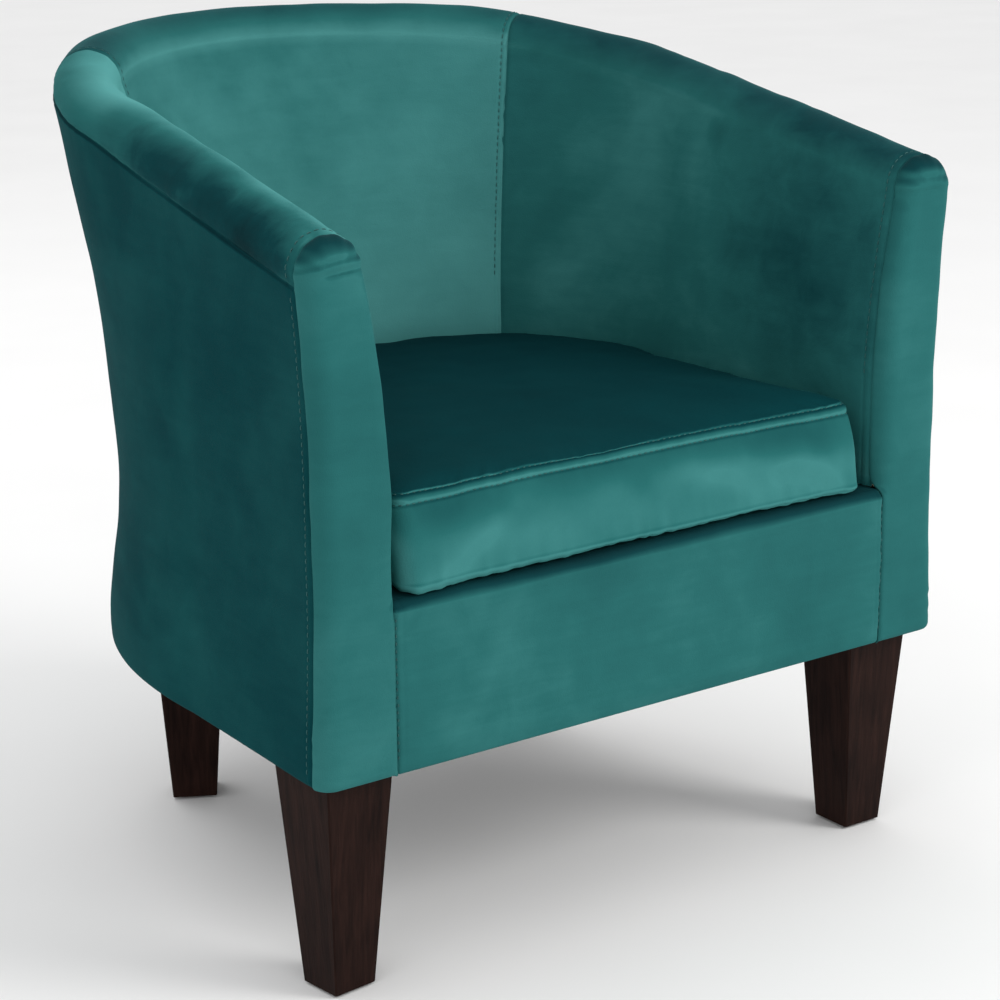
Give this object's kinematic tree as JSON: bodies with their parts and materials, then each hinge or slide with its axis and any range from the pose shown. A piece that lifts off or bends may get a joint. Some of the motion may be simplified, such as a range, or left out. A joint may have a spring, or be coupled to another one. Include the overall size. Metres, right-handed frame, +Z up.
{
  "type": "tub chair",
  "caption": "Low-backed velvet tub chair with a rolled rim falling along the arms, a loose zipped seat cushion and square tapered wooden legs.",
  "frame": {"origin": "on the floor under the centre of the overall box", "axes": "+Z up, -Y towards the sitter's front, +X to the right as seen from the front"},
  "size_m": [0.669, 0.6554, 0.7241],
  "materials": {
    "velvet": "teal cotton velvet with a short nap",
    "foam": "open-cell polyurethane foam",
    "wadding": "polyester fibre wadding",
    "lining_cloth": "black non-woven lining cloth",
    "leg_wood": "dark brown stain under satin lacquer",
    "plywood": "bare plywood",
    "timber": "bare planed softwood",
    "fibreboard": "bare thin fibreboard",
    "steel": "plain zinc-plated steel",
    "zip_tape": "woven tape",
    "zip_plastic": "moulded nylon",
    "glide_plastic": "matt black plastic"
  },
  "bodies": {
    "chair": {"arm_foam_left": "foam", "arm_foam_right": "foam", "arm_front_cover_left": "velvet", "arm_front_cover_right": "velvet", "arm_front_pad_left": "wadding", "arm_front_pad_right": "wadding", "arm_post_left": "plywood", "arm_post_right": "plywood", "back_foam": "foam", "corner_blocks": "timber", "cover_hem": "velvet", "deck_cloth": "lining_cloth", "deck_pad": "foam", "dust_cover": "lining_cloth", "frame_screws": "steel", "front_edge_roll": "foam", "front_rail": "timber", "front_rail_cover": "velvet", "front_rail_pad": "wadding", "glides": "glide_plastic", "hanger_bolts": "steel", "inner_board": "fibreboard", "inside_cover_back": "velvet", "inside_cover_left": "velvet", "inside_cover_right": "velvet", "leg_front_left": "leg_wood", "leg_front_right": "leg_wood", "leg_nuts": "steel", "leg_rear_left": "leg_wood", "leg_rear_right": "leg_wood", "lower_ring": "plywood", "outer_board_back": "fibreboard", "outer_board_left": "fibreboard", "outer_board_right": "fibreboard", "outer_wadding_back": "wadding", "outer_wadding_left": "wadding", "outer_wadding_right": "wadding", "outside_cover_back": "velvet", "outside_cover_left": "velvet", "outside_cover_right": "velvet", "spring_cleat": "timber", "spring_clips": "steel", "spring_felt": "wadding", "springs": "steel", "staples": "steel", "top_rail": "plywood", "upper_ring": "plywood", "uprights": "plywood"},
    "cushion": {"cushion_bottom": "velvet", "cushion_boxing": "velvet", "cushion_foam": "foam", "cushion_top": "velvet", "cushion_wrap": "wadding", "zip_tapes": "zip_tape", "zip_coils": "zip_plastic", "zip_stops": "steel"},
    "zip_slider": {"zip_slider": "steel"}
  },
  "joints": [
    {"name": "cushion_lift", "type": "slide", "parent": "chair", "child": "cushion", "axis": [0, 0, 1], "range_m": [0, 0.41]},
    {"name": "zip_slide", "type": "slide", "parent": "cushion", "child": "zip_slider", "axis": [1, 0, 0], "range_m": [0, 0.28]}
  ]
}
